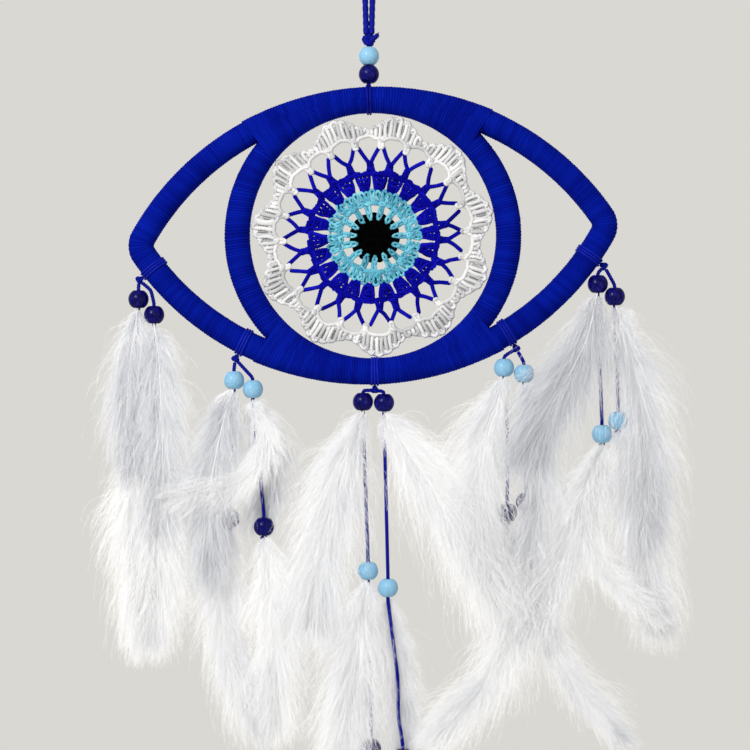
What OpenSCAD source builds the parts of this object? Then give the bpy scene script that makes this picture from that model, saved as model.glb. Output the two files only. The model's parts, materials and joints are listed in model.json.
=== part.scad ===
// Evil eye ornament: an eye-shaped frame wrapped in yarn, a crocheted eye in its
// round ring, a hanging loop with two beads, and five tassels of two strands.
// The loop's contact with its hook is the origin, the front faces -Y, +Z is up.

/* [Frame] */
// Radius of the ring's centreline
ring_r = 66.2; // [60:0.2:72]
// Radius of the four arcs of the eye's outline, which touch the ring at top and bottom
arc_r = 132.2; // [125:0.2:140]
// Radius of the bend at the eye's two corners
corner_r = 8; // [7:0.5:12]
// Outer diameter of the yarn-wrapped tubes
tube_d = 12.4; // [10:0.2:13]
// Diameter of the steel wire inside the yarn
wire_d = 4; // [3:0.5:5]
// How far the eye hangs out of level, in degrees
eye_tilt = 2.7; // [0:0.1:4]

/* [Crochet] */
// Thickness of the crocheted rounds
lace_t = 2; // [1.2:0.2:3]
// Radius of the black centre round
pupil_r = 11.8; // [11:0.1:12]
// Outer radius of the light-blue rounds
iris_r = 23.5; // [22:0.1:24.5]
// Radius of the blue chain that the stitches stand on
chain_r = 32.5; // [31:0.1:33]
// Radius that the tips of the Y stitches reach, where the white rounds begin
stitch_r = 43.4; // [42:0.1:44.5]
// Number of white scallops
scallops = 11; // [11]

/* [Hanger] */
// Diameter of the satin cord of the loop
loop_d = 2.5; // [2:0.1:2.8]
// Height from the ring's centre up to the hook
hang_h = 160; // [150:1:175]
// Sideways distance from the hook to the ring's centre
hang_x = 2; // [0:0.5:4]

/* [Tassels] */
// Diameter of the wooden beads
bead_d = 10; // [9.6:0.1:10]
// Height of a bead between its two flattened ends
bead_h = 8.6; // [8:0.1:9]
// Diameter of the tassel cords
cord_d = 1.5; // [1.2:0.1:1.6]
// Thickness of a feather's core at its middle
feather_t = 5; // [3:0.5:7]

/* [Hidden] */
tube_r = tube_d / 2;
wire_r = wire_d / 2;
bead_r = bead_d / 2;
cord_r = cord_d / 2;
bore_r = cord_r + 0.2;
blue = "#0a178c";
pale_blue = "#96cde6";
navy = "#1a1046";
black = "#060608";
white = "#f0f1f4";
steel = "#8f9298";

// Frame: the arcs' centres lie this far above and below the ring's centre.
arc_z = arc_r - ring_r;
corner_x = sqrt(pow(arc_r - corner_r, 2) - pow(arc_z, 2));
corner_a = atan2(arc_z, corner_x);
wrap_from_x = 24;
weld_from_x = 50;
weld_r = 1.5;
// The corner's bend is this much thicker than the arcs, and reaches this far over them.
corner_grow = 0.05;
corner_lap = 3.6;

// Ties: turns of cord round a tube and the knot outside them that a tassel hangs from.
turns = 3;
turn_gap = 1.75;
knot_r = 1.5;
turn_r = tube_r + 0.05 + cord_r;
knot_at = tube_r + 0.1 + cord_d + knot_r;

// Hanger, as heights above the ring's centre.
tube_top = ring_r + tube_r;
tie_clear = 0.2;
tie_cord_r = 0.6;
low_bead_z = tube_top + 6.3;
high_bead_z = low_bead_z + bead_h + 0.3;
stem_r = 1.2;
loop_bead_bore_r = stem_r + 0.1;
stem_low_z = low_bead_z - bead_h / 2 - 0.1;
knot_low_z = high_bead_z + bead_h / 2 + 0.3;
knot_w = 2.9;
loop_knot_h = 6.4;
loop_top_r = 4;

// Tassels: name, radius and centre height of the arc that the tie is on, the tie's
// angle on that arc, and the knot's two strands. A strand is its name, its cord's
// route and its beads and feathers, as [x, z] from the ring's centre.
//                 strand = [name, bead centres, bead colours, cord end, feathers]
//                 feather = [core width, depth y, spine points from quill to tip]
TASSELS = [
  ["left_tip", arc_r, arc_z, 215.6, [
    ["left", [[-114.4, -31], [-117, -98.6]], [navy, pale_blue], 5,
      [[13, -3.6, [[-115.4, -35.5], [-122, -58], [-127, -80], [-125, -106]]],
       [15, 0, [[-117.6, -103.1], [-122, -130], [-123, -160], [-119, -193]]]]],
    ["right", [[-106.8, -38.6], [-105, -105]], [navy, pale_blue], 5,
      [[13, -3.6, [[-105.6, -43.1], [-99, -66], [-93, -92], [-94, -118]]],
       [15, 0, [[-104.6, -109.5], [-101, -135], [-99, -160], [-102, -193]]]]]]],
  ["lower_left", arc_r, arc_z, 240.4, [
    ["left", [[-67.8, -70.5], [-70, -138]], [pale_blue, navy], 5,
      [[13, -3.6, [[-69.4, -75], [-74, -95], [-79, -112], [-84, -134]]],
       [13, 0, [[-70.4, -142.5], [-75, -168], [-74, -196], [-66, -226]]]]],
    ["right", [[-58.6, -74.9], [-53.2, -142]], [pale_blue, navy], 5,
      [[11, -3.6, [[-58.8, -79.4], [-58, -100], [-59, -118], [-61, -134]]],
       [14, 0, [[-53.2, -146.5], [-49, -170], [-46, -198], [-46, -228]]]]]]],
  ["bottom", ring_r, 0, 268, [
    ["left", [[-4.9, -81], [-2.4, -163.5], [-1, -250]], [navy, pale_blue, navy], 5,
      [[16, -3.6, [[-6.4, -85.5], [-18, -112], [-27, -142], [-30, -180]]],
       [13, -3.6, [[-3.8, -168.1], [-10, -192], [-13, -215], [-15, -242]]],
       [14, 0, [[-1.4, -254.5], [-5, -282], [-8, -312], [-12, -350]]]]],
    ["right", [[5.4, -81.5], [7.3, -171.8], [14.6, -255]], [navy, pale_blue, navy], 5,
      [[14, -3.6, [[7, -86], [19, -112], [30, -137], [39, -164]]],
       [9, 3.6, [[8.6, -176.4], [14, -198], [18, -220], [20, -243]]],
       [14, 0, [[15, -259.5], [18, -288], [21, -316], [26, -352]]]]]]],
  ["lower_right", arc_r, arc_z, 298.4, [
    ["left", [[63.9, -64.4], [65.5, -135.2]], [pale_blue, navy], 5,
      [[12, -3.6, [[62.4, -68.9], [55, -90], [51, -115], [49, -142]]],
       [12, 0, [[65.2, -139.7], [65, -168], [62, -200], [48, -234]]]]],
    ["right", [[73.7, -67.3], [74.7, -130]], [pale_blue, navy], 5,
      [[10, 3.6, [[74.9, -71.8], [78, -90], [80, -106], [80, -121]]],
       [11, 0, [[75.2, -134.5], [80, -166], [88, -198], [104, -232]]]]]]],
  ["right_tip", arc_r, arc_z, 322.4, [
    ["left", [[109.7, -23.6], [111.7, -96.7]], [navy, pale_blue], 5,
      [[11, -3.6, [[108.4, -28.1], [103, -50], [96, -72], [89, -94]]],
       [12, 0, [[111.2, -101.2], [105, -130], [99, -155], [95, -178]]]]],
    ["right", [[118, -29.7], [119.7, -90.2]], [navy, pale_blue], 5,
      [[15, -3.6, [[119.6, -34.2], [131, -64], [138, -96], [141, -130]]],
       [14, 0, [[120.3, -94.7], [124, -126], [128, -156], [136, -186]]]]]]]
];

// Middle points of a strand's cord under its bead of that index, or above its first bead
// for -1, where it doesn't run straight.
SLACK = [
  ["left_tip_right", -1, [[-108.4, -26.5]]],
  ["bottom_right", 1, [[9.5, -195], [12, -215], [12.5, -235]]],
  ["lower_right_left", 0, [[65.2, -88], [65.8, -112]]]
];

// Route of the loop's cord, from one side of its knot over the hook to the other.
LOOP = [[-1.35, 98.5], [-1.4, 102], [-1.55, 108], [-1.8, 116], [-2.3, 126], [-2.9, 136],
        [-3.5, 146], [-3.9, 153]];

// Blunt ring polygon of a swept tube: sides points on an ellipse across direction d.
function unit(v) = v / norm(v);
function along(p, i) = unit(p[min(i + 1, len(p) - 1)] - p[max(i - 1, 0)]);
function swept_ring(c, d, rx, ry, sides) =
  [for (k = [0 : sides - 1]) let (a = 360 * (k + 0.5) / sides)
    c + rx * cos(a) * [d[2], 0, -d[0]] + [0, ry * sin(a), 0]];
function swept_faces(n, sides) = concat(
  [[for (k = [0 : sides - 1]) k]],
  [for (i = [0 : n - 2], k = [0 : sides - 1]) let (q = (k + 1) % sides)
    [i * sides + k, (i + 1) * sides + k, (i + 1) * sides + q, i * sides + q]],
  [[for (k = [sides - 1 : -1 : 0]) (n - 1) * sides + k]]);

// A tube of one radius, or of one radius at each point, along points in the XZ plane.
module swept(p, rx, ry, sides) {
  rings = [for (i = [0 : len(p) - 1])
    each swept_ring(p[i], along(p, i), rx[i], ry[i], sides)];
  polyhedron(rings, swept_faces(len(p), sides), convexity = 6);
}
module cord_tube(p, r) {
  swept(p, [for (q = p) r], [for (q = p) r], 8);
}

// Point t along a smooth curve through four points, for a feather's spine.
function bend(p, t) = let (u = 1 - t)
  u * u * u * p[0] + 3 * u * u * t * (p[1] * 1.5 - p[0] * 0.35 - p[2] * 0.15)
  + 3 * u * t * t * (p[2] * 1.5 - p[3] * 0.35 - p[1] * 0.15) + t * t * t * p[3];
function at(q, y = 0) = [q[0], y, q[1]];

// The ring's centre becomes the local origin; the eye itself also hangs out of level.
module from_ring() {
  translate([hang_x, 0, -hang_h]) children();
}
module in_eye() {
  from_ring() rotate([0, -eye_tilt, 0]) children();
}

// Part of a torus standing in the XZ plane, from angle a0 through a degrees.
module arc_tube(r, tr, z = 0, a0 = 0, a = 360, x = 0) {
  translate([x, 0, z]) rotate([90, 0, 0]) rotate([0, 0, a0])
    rotate_extrude(angle = a, $fn = 180) translate([r, 0]) circle(tr, $fn = 48);
}

// One side of the eye's outline, drawn on the right: two long arcs and the corner.
module outline_tube(tr, from_x) {
  end_a = acos(from_x / arc_r);
  arc_tube(arc_r, tr, -arc_z, corner_a, end_a - corner_a);
  arc_tube(corner_r, tr + corner_grow, 0, -corner_a - corner_lap,
    2 * (corner_a + corner_lap), corner_x);
  arc_tube(arc_r, tr, arc_z, -end_a, end_a - corner_a);
}
module side(right) {
  if (right) children();
  else mirror([1, 0, 0]) children();
}

// Short bars that join an outline wire to the ring's wire, square to the ring.
module weld_bars(r) {
  z = sqrt(pow(arc_r, 2) - pow(weld_from_x, 2)) - arc_z;
  for (s = [-1, 1]) rotate([0, -s * atan2(z, weld_from_x), 0])
    translate([ring_r, 0, 0]) rotate([0, 90, 0])
      cylinder(r = r, h = norm([weld_from_x, z]) - ring_r, $fn = 24);
}

module ring_hoop() {
  color(steel) in_eye() arc_tube(ring_r, wire_r);
}
module wing_hoop(right) {
  color(steel) in_eye() side(right) difference() {
    union() {
      outline_tube(wire_r, weld_from_x - 2);
      weld_bars(weld_r);
    }
    arc_tube(ring_r, wire_r);
  }
}
module ring_wrap() {
  color(blue) in_eye() difference() {
    arc_tube(ring_r, tube_r);
    arc_tube(ring_r, wire_r);
    weld_bars(weld_r);
    mirror([1, 0, 0]) weld_bars(weld_r);
  }
}
module wing_wrap(right) {
  color(blue) in_eye() side(right) difference() {
    outline_tube(tube_r, wrap_from_x);
    arc_tube(ring_r, tube_r);
    outline_tube(wire_r, weld_from_x - 2);
    weld_bars(weld_r);
  }
}

// Crocheted rounds, flat and square to Y, centred in the ring.
module lace(t = lace_t) {
  in_eye() rotate([90, 0, 0]) translate([0, 0, -t / 2]) linear_extrude(t) children();
}
module around(n, first = 0) {
  for (k = [0 : n - 1]) rotate(first + 360 * k / n) children();
}
module band(r_in, r_out) {
  difference() {
    circle(r_out, $fn = 120);
    circle(r_in, $fn = 120);
  }
}
module bar(p, q, w) {
  translate(p) rotate(atan2(q[1] - p[1], q[0] - p[0])) translate([-w / 4, -w / 2])
    square([norm(q - p) + w / 2, w]);
}
function polar(r, a) = r * [cos(a), sin(a)];
posts = 15;
ys = 2 * scallops;
y_step = 360 / ys;
crotch_r = 37.6;
peak_r = ring_r - tube_r - 0.1;
valley_r = 51.6;
peak_a = 107;
// A notch in the white rim lets the bottom tassel's tie pass.
notch_r = ring_r - turn_r - cord_r - 0.1;
notch_w = (turns - 1) * turn_gap + cord_d + 0.3;

module pupil_round() {
  color(black) lace() band(1.2, pupil_r);
}
module iris_round() {
  color(pale_blue) lace() {
    band(16.3, iris_r);
    band(pupil_r + 0.05, pupil_r + 1.3);
    around(posts, 4) translate([pupil_r + 1, -1.2]) square([4, 2.4]);
  }
}
module blue_round() {
  color(blue) lace() intersection() {
    circle(stitch_r, $fn = 120);
    union() {
      band(chain_r - 0.9, chain_r + 0.9);
      band(iris_r + 0.05, iris_r + 1.2);
      around(ys, peak_a + y_step / 2) polygon([[iris_r + 0.8, -1.3], [chain_r - 3, -2.8],
        [chain_r, -2.4], [chain_r, 2.4], [chain_r - 3, 2.8], [iris_r + 0.8, 1.3]]);
      around(ys, peak_a) {
        bar([chain_r, 0], [crotch_r, 0], 2);
        for (s = [-1, 1]) bar([crotch_r, 0], polar(stitch_r + 0.5, s * 6.5), 1.6);
      }
    }
  }
}
// One scallop spans 360 / scallops degrees: an arch over each Y stitch, sprung from where
// neighbouring stitches meet, and a fan of posts out to the rim, which peaks mid-scallop.
module scallop() {
  half = y_step;
  meet = y_step / 2;
  bar(polar(48.2, 0), polar(peak_r - 1, 0), 1.4);
  for (s = [-1, 1]) {
    for (c = [0, s * half]) bar(polar(stitch_r + 0.6, s * meet), polar(48.2, c), 1.8);
    bar(polar(48.2, s * half), polar(valley_r, s * half), 2.4);
    bar(polar(46.6, s * 12), polar(52.3, s * 12.6), 1.4);
    bar(polar(45.4, s * meet), polar(55, s * 8.2), 1.6);
    bar(polar(47, s * 4), polar(57.6, s * 4), 1.4);
    bar(polar(valley_r, s * half), polar(53, s * 11), 2.4);
    bar(polar(53, s * 11), polar(57.2, s * 5.5), 2.4);
    bar(polar(57.2, s * 5.5), polar(peak_r - 0.9, 0), 2);
  }
}
module white_round() {
  color(white) lace() difference() {
    around(scallops, peak_a) scallop();
    circle(stitch_r + 0.05, $fn = 120);
    rotate(TASSELS[2][3]) translate([notch_r, -notch_w / 2]) square([8, notch_w]);
  }
}

// Turns of cord round a tube whose centreline is the arc (r, z), at angle a on it.
module tie_turns(r, z, a, n, major, minor, gap) {
  for (k = [0 : n - 1]) {
    b = a + (k - (n - 1) / 2) * gap / r * 180 / PI;
    translate([r * cos(b), 0, z + r * sin(b)]) rotate([0, -b, 0])
      rotate_extrude($fn = 60) translate([major, 0]) circle(minor, $fn = 16);
  }
}
module tassel_ties() {
  color(blue) in_eye() for (t = TASSELS) {
    tie_turns(t[1], t[2], t[3], turns, turn_r, cord_r, turn_gap);
    translate([(t[1] + knot_at) * cos(t[3]), 0, t[2] + (t[1] + knot_at) * sin(t[3])])
      sphere(knot_r, $fn = 24);
  }
}

// Where a tassel's knot is once the eye hangs out of level, from the ring's centre.
function turned(p) = [p[0] * cos(eye_tilt) - p[1] * sin(eye_tilt),
                      p[0] * sin(eye_tilt) + p[1] * cos(eye_tilt)];
function knot(t) = turned([(t[1] + knot_at) * cos(t[3]), t[2] + (t[1] + knot_at) * sin(t[3])]);
function key(t, s) = str(t[0], "_", s[0]);
function slack(name, i) = [for (m = SLACK) if (m[0] == name && m[1] == i) each m[2]];

// A strand's cord: out of the knot towards its first bead, straight down through each
// bead, and on to the knotted end under the last one.
function strand_route(t, s) = let (k = knot(t), b = s[1], h = bead_h / 2,
    lead = concat(slack(key(t, s), -1), [b[0] + [0, h + 1.2]]), out = unit(lead[0] - k))
  concat([k + out * (knot_r + 0.4)], lead, [
    for (i = [0 : len(b) - 1]) each concat([b[i] + [0, h - 1], b[i] - [0, h - 1]],
      i < len(b) - 1 ? concat([b[i] - [0, h + 2]], slack(key(t, s), i), [b[i + 1] + [0, h + 2]])
                     : [b[i] - [0, h + 0.8]])]);
module strand_cord(t, s) {
  color(blue) from_ring() cord_tube([for (q = strand_route(t, s)) at(q)], cord_r);
}
module bead(p, bore, c) {
  color(c) from_ring() translate(at(p)) difference() {
    intersection() {
      sphere(bead_r, $fn = 48);
      cube([2 * bead_d, 2 * bead_d, bead_h], center = true);
    }
    cylinder(r = bore, h = 2 * bead_h, center = true, $fn = 32);
  }
}
// A feather's core: widest a third of the way down, and drawn out to a blunt tip.
feather_rings = 9;
quill_off = 1.5;
function plume(t) = 0.08 + 0.92 * pow(sin(180 * pow(min(t * 0.93 + 0.03, 1), 0.72)), 0.8);
module feather(f) {
  ts = [for (i = [0 : feather_rings - 1]) i / (feather_rings - 1)];
  quill_y = f[1] > 0 ? quill_off : -quill_off;
  spine = [for (t = ts) at(bend(f[2], t), quill_y + (f[1] - quill_y) * min(1, 6 * t))];
  swept(spine, [for (t = ts) f[0] / 2 * plume(t)], [for (t = ts) feather_t / 2 * plume(t)], 8);
}
module strand_feathers(s) {
  color(white) from_ring() for (f = s[4]) feather(f);
}

// Hanger, from the hook down to the eye.
module hang_cord() {
  left = [for (q = LOOP) at(q)];
  top = [for (a = [150 : -30 : 30]) at([0, hang_h + loop_d / 2 - loop_top_r]
    + loop_top_r * [cos(a), sin(a)])];
  right = [for (i = [len(LOOP) - 1 : -1 : 0]) at([-LOOP[i][0], LOOP[i][1]])];
  color(blue) translate([0, 0, -hang_h]) cord_tube(concat(left, top, right), loop_d / 2);
}
module at_hook(z) {
  translate([0, 0, z - hang_h]) children();
}
module hang_knot() {
  color(blue) at_hook(knot_low_z) {
    translate([0, 0, 1.4]) rotate_extrude($fn = 32) polygon([[0, -1.4], [1.8, -1.4],
      [knot_w, 0.2], [knot_w, loop_knot_h - 3], [1.9, loop_knot_h - 1.5],
      [0, loop_knot_h - 1.5]]);
    translate([1.5, 0, 3]) rotate([0, 72, 0]) cylinder(r = 1.1, h = 6, $fn = 24);
  }
}
module hanger_stem() {
  color(blue) at_hook(stem_low_z) cylinder(r = stem_r, h = knot_low_z - stem_low_z - 0.1, $fn = 24);
}
module hanger_bead(z, c) {
  color(c) at_hook(z) difference() {
    intersection() {
      sphere(bead_r, $fn = 48);
      cube([2 * bead_d, 2 * bead_d, bead_h], center = true);
    }
    cylinder(r = loop_bead_bore_r, h = 2 * bead_h, center = true, $fn = 32);
  }
}
module hanger_tie() {
  a = 90 + asin(hang_x / ring_r);
  color(blue) from_ring()
    tie_turns(ring_r, 0, a, 2, tube_r + tie_clear + tie_cord_r, tie_cord_r, 1.4);
}

LEVELS = ["upper", "lower", "end"];

hang_cord();
hang_knot();
hanger_stem();
hanger_bead(high_bead_z, pale_blue);  // hanger_upper_bead
hanger_bead(low_bead_z, navy);  // hanger_lower_bead
hanger_tie();
ring_hoop();
wing_hoop(false);  // left_wing_hoop
wing_hoop(true);  // right_wing_hoop
ring_wrap();
wing_wrap(false);  // left_wing_wrap
wing_wrap(true);  // right_wing_wrap
pupil_round();
iris_round();
blue_round();
white_round();
tassel_ties();
for (t = TASSELS, s = t[4]) {
  strand_cord(t, s);
  strand_feathers(s);
  for (i = [0 : len(s[1]) - 1])
    bead(s[1][i], bore_r, s[2][i]);
}
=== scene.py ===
"""Looks of the evil eye ornament: wound yarn, crochet, cords, wooden beads and feathers.

Lengths in the tables are millimetres from the ring's centre, x to the right and z up, as
in the part's source. Everything built is in metres, in the frame of the CAD part.
"""

import json
import math

import bpy
import numpy as np
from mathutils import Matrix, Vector


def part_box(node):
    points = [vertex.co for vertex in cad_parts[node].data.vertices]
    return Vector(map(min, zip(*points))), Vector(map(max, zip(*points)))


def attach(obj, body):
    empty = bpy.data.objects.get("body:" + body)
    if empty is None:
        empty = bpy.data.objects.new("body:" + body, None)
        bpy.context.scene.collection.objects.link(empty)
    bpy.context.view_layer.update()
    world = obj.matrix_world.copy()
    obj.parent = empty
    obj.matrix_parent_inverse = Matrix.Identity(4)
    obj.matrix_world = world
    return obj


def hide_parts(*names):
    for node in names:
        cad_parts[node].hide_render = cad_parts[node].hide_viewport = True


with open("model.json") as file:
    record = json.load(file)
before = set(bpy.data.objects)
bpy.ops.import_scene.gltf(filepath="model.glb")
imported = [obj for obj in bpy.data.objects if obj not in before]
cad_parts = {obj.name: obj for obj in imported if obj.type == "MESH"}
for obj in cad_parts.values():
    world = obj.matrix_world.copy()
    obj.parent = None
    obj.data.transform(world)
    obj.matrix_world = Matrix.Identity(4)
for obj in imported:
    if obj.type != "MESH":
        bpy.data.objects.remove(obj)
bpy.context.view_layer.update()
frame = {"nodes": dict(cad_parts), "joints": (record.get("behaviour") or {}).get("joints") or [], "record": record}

MM = 0.001
JOINTS = {j["name"]: j for j in frame["joints"]}


def middle(node):
    """The centre of a node's box, in metres."""
    low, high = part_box(node)
    return (np.array(low) + np.array(high)) / 2


RING = middle("ring_hoop")
TILT = math.radians(2.7)
RING_R = 66.2
ARC_R = 132.2
ARC_Z = ARC_R - RING_R
TUBE_R = 6.2
CORNER_R = 8.0
CORD_D = 1.5
LOOP_D = 2.5
BEAD_R = 5.0
BEAD_H = 8.6
CORD_BORE = 0.95
LOOP_BORE = 1.25
PALE_BEADS = {p["node"] for p in frame["record"]["subparts"] if p["material_slot"] == "pale_bead"}


def put(p):
    """Points [x, y, z] in mm from the ring's centre, in metres in the part's frame."""
    return np.asarray(p, float) * MM + RING


def tilted(p):
    """Points of the eye drawn level, as the eye hangs, still in mm."""
    x, y, z = np.moveaxis(np.asarray(p, float), -1, 0)
    c, s = math.cos(TILT), math.sin(TILT)
    return np.stack([x * c - z * s, y, x * s + z * c], -1)


def in_mm(p):
    """A place in metres in the part's frame, in mm from the ring's centre."""
    return (np.asarray(p, float) - RING) / MM


# ---------------- meshes


def linked(name, data):
    """A new object in the scene."""
    thing = bpy.data.objects.new(name, data)
    bpy.context.scene.collection.objects.link(thing)
    return thing


class Build:
    """Vertices, faces, UVs and a tone for each vertex, gathered into one mesh."""

    def __init__(self):
        self.verts, self.faces, self.uvs, self.tones, self.count = [], [], [], [], 0

    def add(self, verts, faces, uvs=None, tone=0.5):
        verts = np.asarray(verts, float).reshape(-1, 3)
        faces = np.asarray(faces, int)
        n = len(verts)
        self.verts.append(verts)
        self.faces.append(faces + self.count)
        self.uvs.append(np.zeros((n, 2)) if uvs is None else np.asarray(uvs, float).reshape(-1, 2))
        self.tones.append(np.broadcast_to(np.asarray(tone, float).reshape(-1), (n,)).copy())
        self.count += n

    def make(self, name, mat, body):
        """The Blender object, with its material, riding its body."""
        mesh = bpy.data.meshes.new(name)
        verts = put(np.concatenate(self.verts))
        sizes = np.concatenate([np.full(len(f), f.shape[1]) for f in self.faces])
        flat = np.concatenate([f.reshape(-1) for f in self.faces])
        starts = np.concatenate([[0], np.cumsum(sizes)[:-1]])
        mesh.vertices.add(len(verts))
        mesh.vertices.foreach_set("co", verts.reshape(-1))
        mesh.loops.add(len(flat))
        mesh.loops.foreach_set("vertex_index", flat)
        mesh.polygons.add(len(sizes))
        mesh.polygons.foreach_set("loop_start", starts)
        mesh.polygons.foreach_set("loop_total", sizes)
        mesh.polygons.foreach_set("use_smooth", np.full(len(sizes), True))
        uv = mesh.uv_layers.new(name="UVMap")
        uv.data.foreach_set("uv", np.concatenate(self.uvs)[flat].reshape(-1))
        tone = mesh.attributes.new("tone", "FLOAT", "POINT")
        tone.data.foreach_set("value", np.concatenate(self.tones))
        mesh.update(calc_edges=True)
        mesh.validate()
        mesh.materials.append(mat)
        piece = linked(name, mesh)
        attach(piece, body)
        return piece


def circle(n):
    """Angles evenly round a circle, from 0."""
    return np.linspace(0, 2 * np.pi, n, endpoint=False)


def lengths(p):
    """Distance along a line at each of its points."""
    steps = np.linalg.norm(np.diff(p, axis=0), axis=1)
    return np.concatenate([[0], np.cumsum(steps)])


def resample(p, step):
    """Points step apart along a line, its ends kept."""
    p = np.asarray(p, float)
    s = lengths(p)
    n = max(2, int(round(s[-1] / step)) + 1)
    t = np.linspace(0, s[-1], n)
    return np.stack([np.interp(t, s, p[:, k]) for k in range(3)], -1)


def curve(p, step):
    """A smooth Catmull-Rom line through points, resampled to step."""
    p = np.asarray(p, float)
    q = np.concatenate([[2 * p[0] - p[1]], p, [2 * p[-1] - p[-2]]])
    t = np.linspace(0, 1, 13)[:-1, None]
    out = []
    for a, b, c, d in zip(q[:-3], q[1:-2], q[2:-1], q[3:], strict=True):
        square, cube = 2 * a - 5 * b + 4 * c - d, 3 * b - a - 3 * c + d
        out.append(0.5 * (2 * b + (c - a) * t + square * t**2 + cube * t**3))
    out = np.concatenate([*out, q[-2:-1]])
    return resample(out, step)


def unit(v):
    """Vectors scaled to length one."""
    return v / np.maximum(np.linalg.norm(v, axis=-1, keepdims=True), 1e-12)


def tangents(p, closed=False):
    """The direction of a line at each of its points."""
    if closed:
        return unit(np.roll(p, -1, 0) - np.roll(p, 1, 0))
    return unit(np.gradient(p, axis=0))


def carried(p, t, first):
    """A normal at each point of a line, carried along it without twisting."""
    n = np.zeros_like(p)
    v = np.asarray(first, float)
    for i in range(len(p)):
        v = v - t[i] * np.dot(v, t[i])
        v = v / max(np.linalg.norm(v), 1e-9)
        n[i] = v
    return n


def grid_faces(rows, cols, closed_rows=False):
    """Quads between rows of points that each go round cols points."""
    r = np.arange(rows if closed_rows else rows - 1)[:, None]
    c = np.arange(cols)[None, :]
    r2, c2 = (r + 1) % rows, (c + 1) % cols
    quads = np.stack([r * cols + c, r * cols + c2, r2 * cols + c2, r2 * cols + c], -1)
    return quads.reshape(-1, 4)


def tube(build, p, radius, sides=8, closed=False, first=(0, 1, 0), tone=0.5, caps=True):
    """A tube along a line; radius is a number, one per point, or one per vertex."""
    p = np.asarray(p, float)
    n = len(p)
    t = tangents(p, closed)
    a = carried(p, t, first)
    b = np.cross(t, a)
    th = circle(sides)
    r = np.asarray(radius, float)
    if r.ndim == 0:
        r = np.full((n, sides), float(r))
    elif r.ndim == 1:
        r = np.repeat(r[:, None], sides, 1)
    ring = a[:, None] * np.cos(th)[None, :, None] + b[:, None] * np.sin(th)[None, :, None]
    verts = p[:, None] + ring * r[..., None]
    along = np.repeat(lengths(p)[:, None], sides, 1)
    uvs = np.stack([along, np.repeat(th[None] / (2 * np.pi), n, 0)], -1)
    tones = np.repeat(np.broadcast_to(np.asarray(tone, float), (n,))[:, None], sides, 1)
    build.add(verts, grid_faces(n, sides, closed), uvs, tones)
    if caps and not closed:
        for k, order in ((0, slice(None, None, -1)), (n - 1, slice(None))):
            tip = p[k] + t[k] * (-1 if k == 0 else 1) * r[k].mean() * 0.6
            centre = np.concatenate([verts[k], tip[None]])
            i = np.arange(sides)[order]
            fan = np.stack([i, np.roll(i, -1), np.full(sides, sides)], -1)
            build.add(centre, fan, np.zeros((sides + 1, 2)), float(tones[k].mean()))


def twisted(p, radius, sides, plies, pitch, depth):
    """Radii of a line's vertices that make a tube look laid from twisted plies."""
    s = lengths(p)
    th = circle(sides)
    phase = plies * (th[None] - 2 * np.pi * s[:, None] / pitch)
    return radius * (1 - depth + depth * np.abs(np.cos(phase / 2)) * 2)


def yarn(build, p, radius, tone=0.5, pitch=2.6, depth=0.12):
    """A short length of two-ply yarn along given points."""
    line = curve(p, 0.5)
    r = twisted(line, radius, 8, 2, pitch, depth)
    r[[0, -1]] *= 0.72
    tube(build, line, r, 8, tone=tone)


# ---------------- materials


class Tree:
    """The nodes of a material or of the world."""

    def __init__(self, tree):
        self.nodes, self.links = tree.nodes, tree.links

    def tone(self):
        """The tone that each vertex was given."""
        node = self.nodes.new("ShaderNodeAttribute")
        node.attribute_name = "tone"
        return node.outputs["Fac"]

    def coords(self, kind, scale):
        """Object or UV coordinates, scaled along each axis."""
        source = self.nodes.new("ShaderNodeTexCoord")
        mapping = self.nodes.new("ShaderNodeMapping")
        mapping.inputs["Scale"].default_value = scale
        self.links.new(source.outputs[kind], mapping.inputs["Vector"])
        return mapping.outputs["Vector"]

    def noise(self, scale, detail=4.0, rough=0.55, vector=None, dist=0.0):
        """The value of a noise texture, on its own coordinates or on a given vector."""
        node = self.nodes.new("ShaderNodeTexNoise")
        node.inputs["Scale"].default_value = scale
        node.inputs["Detail"].default_value = detail
        node.inputs["Roughness"].default_value = rough
        node.inputs["Distortion"].default_value = dist
        if vector is not None:
            self.links.new(vector, node.inputs["Vector"])
        return node.outputs["Fac"]

    def mixed(self, a, b, kind="MULTIPLY"):
        """Two values multiplied, or added; the second may be a plain number."""
        node = self.nodes.new("ShaderNodeMath")
        node.operation = kind
        self.links.new(a, node.inputs[0])
        if isinstance(b, (int, float)):
            node.inputs[1].default_value = b
        else:
            self.links.new(b, node.inputs[1])
        return node.outputs["Value"]

    def ramp(self, source, stops):
        """A colour ramp fed by a socket; stops are (position, colour)."""
        node = self.nodes.new("ShaderNodeValToRGB")
        while len(node.color_ramp.elements) < len(stops):
            node.color_ramp.elements.new(0.5)
        for e, (pos, rgb) in zip(node.color_ramp.elements, stops, strict=True):
            e.position = pos
            e.color = (*rgb, 1)
        self.links.new(source, node.inputs["Fac"])
        return node.outputs["Color"]

    def bump(self, shader, height, strength, distance):
        """A bump of a height value on a shader."""
        node = self.nodes.new("ShaderNodeBump")
        node.inputs["Strength"].default_value = strength
        node.inputs["Distance"].default_value = distance
        self.links.new(height, node.inputs["Height"])
        self.links.new(node.outputs["Normal"], shader.inputs["Normal"])


def material(name, rough, sheen=0.0, coat=0.0, spec=0.5):
    """A principled material with nothing linked yet, its tree and its shader."""
    mat = bpy.data.materials.new(name)
    mat.use_nodes = True
    tree = Tree(mat.node_tree)
    shader = tree.nodes["Principled BSDF"]
    shader.inputs["Roughness"].default_value = rough
    shader.inputs["Sheen Weight"].default_value = sheen
    shader.inputs["Coat Weight"].default_value = coat
    shader.inputs["Coat Roughness"].default_value = 0.22
    shader.inputs["Specular IOR Level"].default_value = spec
    return mat, tree, shader


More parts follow.
